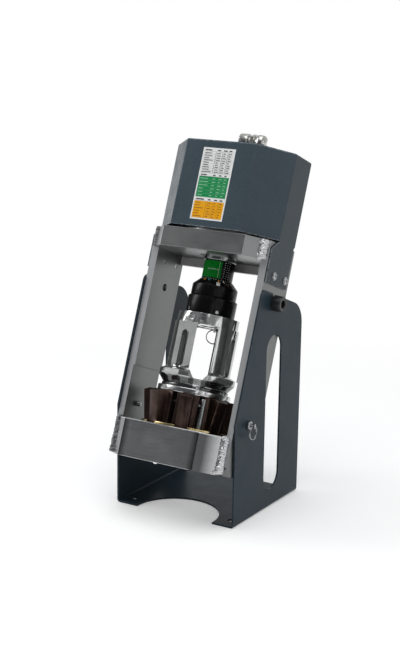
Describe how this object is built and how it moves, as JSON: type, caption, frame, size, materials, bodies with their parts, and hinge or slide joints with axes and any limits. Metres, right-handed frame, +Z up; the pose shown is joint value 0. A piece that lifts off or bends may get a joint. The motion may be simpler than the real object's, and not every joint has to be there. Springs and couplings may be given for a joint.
{
  "type": "hydraulic hose crimper",
  "caption": "Portable hydraulic hose crimper: a leaning press head with a conical die bowl, die segments, pusher and adjuster, hung in a folded sheet stand.",
  "frame": {"origin": "centre of the four bench-bolt holes, on the underside of the stand's floor plate", "axes": "+Z up, -Y towards the front of the machine where the operator stands, +X to the operator's right"},
  "size_m": [0.244, 0.3193, 0.5658],
  "materials": {
    "stand_paint": "satin powder coat",
    "frame_steel": "satin ground",
    "cover_paint": "satin powder coat",
    "weld_steel": "satin, rippled",
    "black_screw": "black oxide",
    "zinc_screw": "zinc plated",
    "chrome": "polished",
    "ground_steel": "ground",
    "machined_alloy": "machined",
    "die_steel": "brown oil finish",
    "brass": "machined",
    "spring_steel": "drawn",
    "seal_rubber": "matte",
    "sleeve_black": "anodised",
    "dial_black": "black anodised",
    "ring_wire": "nickel plated wire"
  },
  "bodies": {
    "stand_and_head": {"stand_frame": "stand_paint", "side_plate_left": "frame_steel", "side_plate_right": "frame_steel", "top_plate": "frame_steel", "die_bowl": "frame_steel", "rear_cross_bar": "frame_steel", "weld_beads": "weld_steel", "pivot_screws": "black_screw", "cylinder_cover": "cover_paint", "cover_screws": "zinc_screw", "cylinder_barrel": "ground_steel", "cylinder_cap": "ground_steel", "rod_gland": "chrome", "rod_seal": "seal_rubber", "port_elbow": "chrome", "coupler_body": "chrome", "die_guides": "brass", "guide_posts": "chrome"},
    "ram": {"ram_rod": "chrome", "ram_piston": "ground_steel", "piston_seal": "seal_rubber", "adjuster_sleeve": "sleeve_black", "adjuster_drum": "dial_black", "drum_screws": "black_screw", "pusher": "machined_alloy", "pressure_ring": "machined_alloy", "pusher_pin": "zinc_screw"},
    "adjuster_dial": {"adjuster_dial": "dial_black"},
    "pusher_pin_ring": {"pusher_pin_ring": "ring_wire"},
    "coupler_collar": {"coupler_collar": "chrome"},
    "index_pin_left": {"index_pin_left": "zinc_screw"},
    "index_pin_right": {"index_pin_right": "zinc_screw"},
    "pin_ring_left": {"pin_ring_left": "ring_wire"},
    "pin_ring_right": {"pin_ring_right": "ring_wire"},
    "die_1": {"die_1": "die_steel", "die_spring_1": "spring_steel"},
    "die_2": {"die_2": "die_steel", "die_spring_2": "spring_steel"},
    "die_3": {"die_3": "die_steel", "die_spring_3": "spring_steel"},
    "die_4": {"die_4": "die_steel", "die_spring_4": "spring_steel"},
    "die_5": {"die_5": "die_steel", "die_spring_5": "spring_steel"},
    "die_6": {"die_6": "die_steel", "die_spring_6": "spring_steel"},
    "die_7": {"die_7": "die_steel", "die_spring_7": "spring_steel"},
    "die_8": {"die_8": "die_steel", "die_spring_8": "spring_steel"}
  },
  "joints": [
    {"name": "ram_slide", "type": "slide", "parent": "stand_and_head", "child": "ram", "axis": [0, -0.3535, -0.9354], "range_m": [0, 0.05]},
    {"name": "die_1_slide", "type": "slide", "parent": "stand_and_head", "child": "die_1", "axis": [-0.075, -0.1773, -0.9813], "range_m": [0, 0.05099]},
    {"name": "die_2_slide", "type": "slide", "parent": "stand_and_head", "child": "die_2", "axis": [-0.181, -0.2765, -0.9438], "range_m": [0, 0.05099]},
    {"name": "die_3_slide", "type": "slide", "parent": "stand_and_head", "child": "die_3", "axis": [-0.181, -0.4168, -0.8908], "range_m": [0, 0.05099]},
    {"name": "die_4_slide", "type": "slide", "parent": "stand_and_head", "child": "die_4", "axis": [-0.075, -0.516, -0.8533], "range_m": [0, 0.05099]},
    {"name": "die_5_slide", "type": "slide", "parent": "stand_and_head", "child": "die_5", "axis": [0.075, -0.516, -0.8533], "range_m": [0, 0.05099]},
    {"name": "die_6_slide", "type": "slide", "parent": "stand_and_head", "child": "die_6", "axis": [0.181, -0.4168, -0.8908], "range_m": [0, 0.05099]},
    {"name": "die_7_slide", "type": "slide", "parent": "stand_and_head", "child": "die_7", "axis": [0.181, -0.2765, -0.9438], "range_m": [0, 0.05099]},
    {"name": "die_8_slide", "type": "slide", "parent": "stand_and_head", "child": "die_8", "axis": [0.075, -0.1773, -0.9813], "range_m": [0, 0.05099]},
    {"name": "adjuster_dial_turn", "type": "hinge", "parent": "ram", "child": "adjuster_dial", "pos_m": [0, 0.01144, 0.33735], "axis": [0, 0.3535, 0.9354], "range_deg": [0, 330]},
    {"name": "pusher_pin_ring_swing", "type": "hinge", "parent": "ram", "child": "pusher_pin_ring", "pos_m": [0.02076, -0.02306, 0.27983], "axis": [-0.8536, -0.4874, 0.1842], "range_deg": [-60, 38]},
    {"name": "coupler_collar_slide", "type": "slide", "parent": "stand_and_head", "child": "coupler_collar", "axis": [1, 0, 0], "range_m": [0, 0.005], "stiffness_N_per_m": 600, "springref_m": -0.003},
    {"name": "index_pin_left_slide", "type": "slide", "parent": "stand_and_head", "child": "index_pin_left", "axis": [-1, 0, 0], "range_m": [0, 0.025]},
    {"name": "pin_ring_left_swing", "type": "hinge", "parent": "index_pin_left", "child": "pin_ring_left", "pos_m": [-0.1145, -0.06323, 0.1539], "axis": [0, 1, 0], "range_deg": [-8, 90]},
    {"name": "index_pin_right_slide", "type": "slide", "parent": "stand_and_head", "child": "index_pin_right", "axis": [1, 0, 0], "range_m": [0, 0.025]},
    {"name": "pin_ring_right_swing", "type": "hinge", "parent": "index_pin_right", "child": "pin_ring_right", "pos_m": [0.1145, -0.06323, 0.1539], "axis": [0, -1, 0], "range_deg": [-8, 90]}
  ],
  "couplings": [
    {"joint": "die_1_slide", "follows": "ram_slide", "ratio": 1.0198},
    {"joint": "die_2_slide", "follows": "ram_slide", "ratio": 1.0198},
    {"joint": "die_3_slide", "follows": "ram_slide", "ratio": 1.0198},
    {"joint": "die_4_slide", "follows": "ram_slide", "ratio": 1.0198},
    {"joint": "die_5_slide", "follows": "ram_slide", "ratio": 1.0198},
    {"joint": "die_6_slide", "follows": "ram_slide", "ratio": 1.0198},
    {"joint": "die_7_slide", "follows": "ram_slide", "ratio": 1.0198},
    {"joint": "die_8_slide", "follows": "ram_slide", "ratio": 1.0198}
  ]
}
